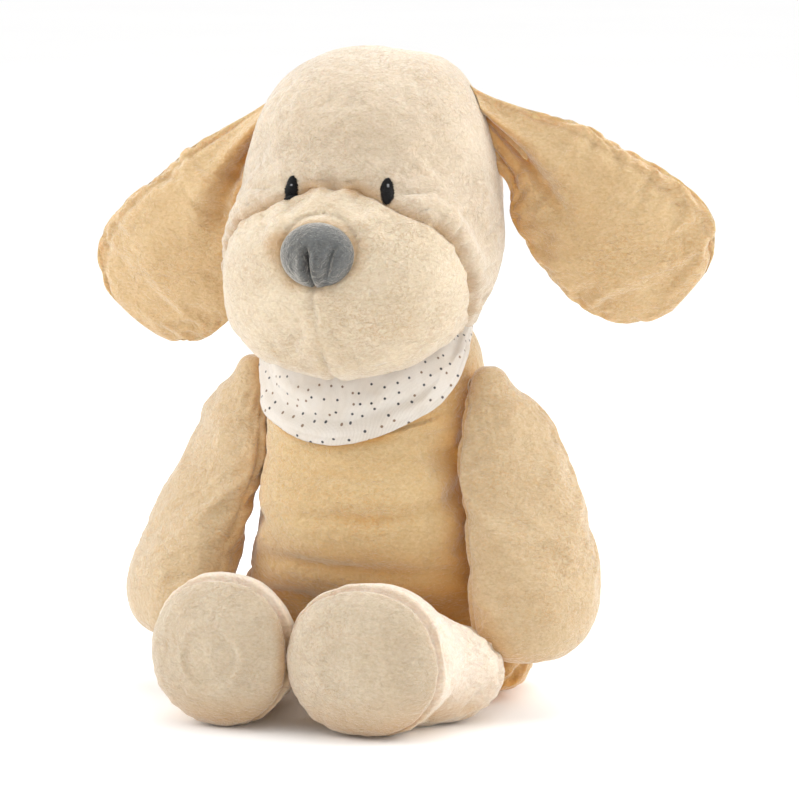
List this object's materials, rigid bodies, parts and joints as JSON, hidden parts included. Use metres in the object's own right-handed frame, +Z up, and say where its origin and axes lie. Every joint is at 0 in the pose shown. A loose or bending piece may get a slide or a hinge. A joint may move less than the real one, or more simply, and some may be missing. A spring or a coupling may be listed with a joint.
{
  "type": "plush dog",
  "caption": "Seated cream plush dog with a large soft muzzle, grey nose, floppy ears, stuffed arms and legs and a dotted muslin neckerchief",
  "frame": {"origin": "centre of the toy's bounding box in X and Y, on the floor it sits on", "axes": "+X towards the dog's own left, +Y towards its back (it faces -Y), +Z up"},
  "size_m": [0.2845, 0.1693, 0.285],
  "materials": {
    "fibre": "loose hollow polyester fibre",
    "pellet_cloth": "matte woven cloth filled with pellets",
    "thread": "matte sewing thread",
    "nose_fabric": "short-pile grey fabric",
    "eye_thread": "satin-stitch embroidery",
    "muslin": "thin off-white muslin with small dark dots",
    "label_satin": "white satin tape",
    "limb_plush": "short-pile ivory plush",
    "head_plush": "short-pile cream plush",
    "body_plush": "short-pile warm cream plush"
  },
  "bodies": {
    "torso": {"torso_front_cover": "body_plush", "torso_back_cover": "body_plush", "seat_panel": "body_plush", "torso_stuffing": "fibre", "seat_pellet_bag": "pellet_cloth", "closing_stitches": "thread", "care_label": "label_satin", "leg_left_stitching": "thread", "leg_right_stitching": "thread"},
    "neck": {"neck_stitching": "thread"},
    "head": {"head_cover": "head_plush", "muzzle_cover": "head_plush", "head_stuffing": "fibre", "nose_cover": "nose_fabric", "nose_stuffing": "fibre", "eye_left": "eye_thread", "eye_right": "eye_thread", "ear_left_stitching": "thread", "ear_right_stitching": "thread"},
    "ear_left": {"ear_left_front": "head_plush", "ear_left_back": "head_plush", "ear_left_padding": "fibre"},
    "ear_right": {"ear_right_front": "head_plush", "ear_right_back": "head_plush", "ear_right_padding": "fibre"},
    "shoulder_left": {"arm_left_stitching": "thread"},
    "arm_left": {"arm_left_cover": "body_plush", "arm_left_stuffing": "fibre"},
    "shoulder_right": {"arm_right_stitching": "thread"},
    "arm_right": {"arm_right_cover": "body_plush", "arm_right_stuffing": "fibre"},
    "leg_left": {"leg_left_cover": "limb_plush", "leg_left_sole": "limb_plush", "leg_left_stuffing": "fibre"},
    "leg_right": {"leg_right_cover": "limb_plush", "leg_right_sole": "limb_plush", "leg_right_stuffing": "fibre"},
    "kerchief": {"neckerchief": "muslin", "neckerchief_tack": "thread"}
  },
  "joints": [
    {"name": "neck_nod", "type": "hinge", "parent": "torso", "child": "neck", "pos_m": [-0.0025, 0.0295, 0.1335], "axis": [1, 0, 0], "range_deg": [-20, 8]},
    {"name": "head_turn", "type": "hinge", "parent": "neck", "child": "head", "pos_m": [-0.0025, 0.0295, 0.1335], "axis": [0, -0.3746, 0.9272], "range_deg": [-20, 20]},
    {"name": "ear_left_swing", "type": "hinge", "parent": "head", "child": "ear_left", "pos_m": [0.05443, 0.03746, 0.24781], "axis": [-0.3275, 0.0255, 0.9445], "range_deg": [-30, 30]},
    {"name": "ear_right_swing", "type": "hinge", "parent": "head", "child": "ear_right", "pos_m": [-0.05991, 0.03246, 0.24781], "axis": [-0.324, -0.0539, -0.9445], "range_deg": [-30, 30]},
    {"name": "arm_left_lift", "type": "hinge", "parent": "torso", "child": "shoulder_left", "pos_m": [0.055, 0.0155, 0.1395], "axis": [-0.2366, -0.9716, 0], "range_deg": [0, 40]},
    {"name": "arm_left_swing", "type": "hinge", "parent": "shoulder_left", "child": "arm_left", "pos_m": [0.055, 0.0155, 0.1395], "axis": [0.9667, -0.2354, 0.1009], "range_deg": [-5, 30]},
    {"name": "arm_right_lift", "type": "hinge", "parent": "torso", "child": "shoulder_right", "pos_m": [-0.06, 0.0155, 0.1395], "axis": [-0.2366, 0.9716, 0], "range_deg": [0, 40]},
    {"name": "arm_right_swing", "type": "hinge", "parent": "shoulder_right", "child": "arm_right", "pos_m": [-0.06, 0.0155, 0.1395], "axis": [0.9667, 0.2354, -0.1009], "range_deg": [-5, 30]},
    {"name": "leg_left_raise", "type": "hinge", "parent": "torso", "child": "leg_left", "pos_m": [0.0365, -0.0215, 0.0215], "axis": [-1, 0, 0], "range_deg": [0, 28]},
    {"name": "leg_right_raise", "type": "hinge", "parent": "torso", "child": "leg_right", "pos_m": [-0.0415, -0.0215, 0.0215], "axis": [-1, 0, 0], "range_deg": [0, 28]},
    {"name": "kerchief_turn", "type": "hinge", "parent": "torso", "child": "kerchief", "pos_m": [-0.0025, 0.0295, 0.1335], "axis": [0, -0.3746, 0.9272], "range_deg": [-8, 8]}
  ]
}
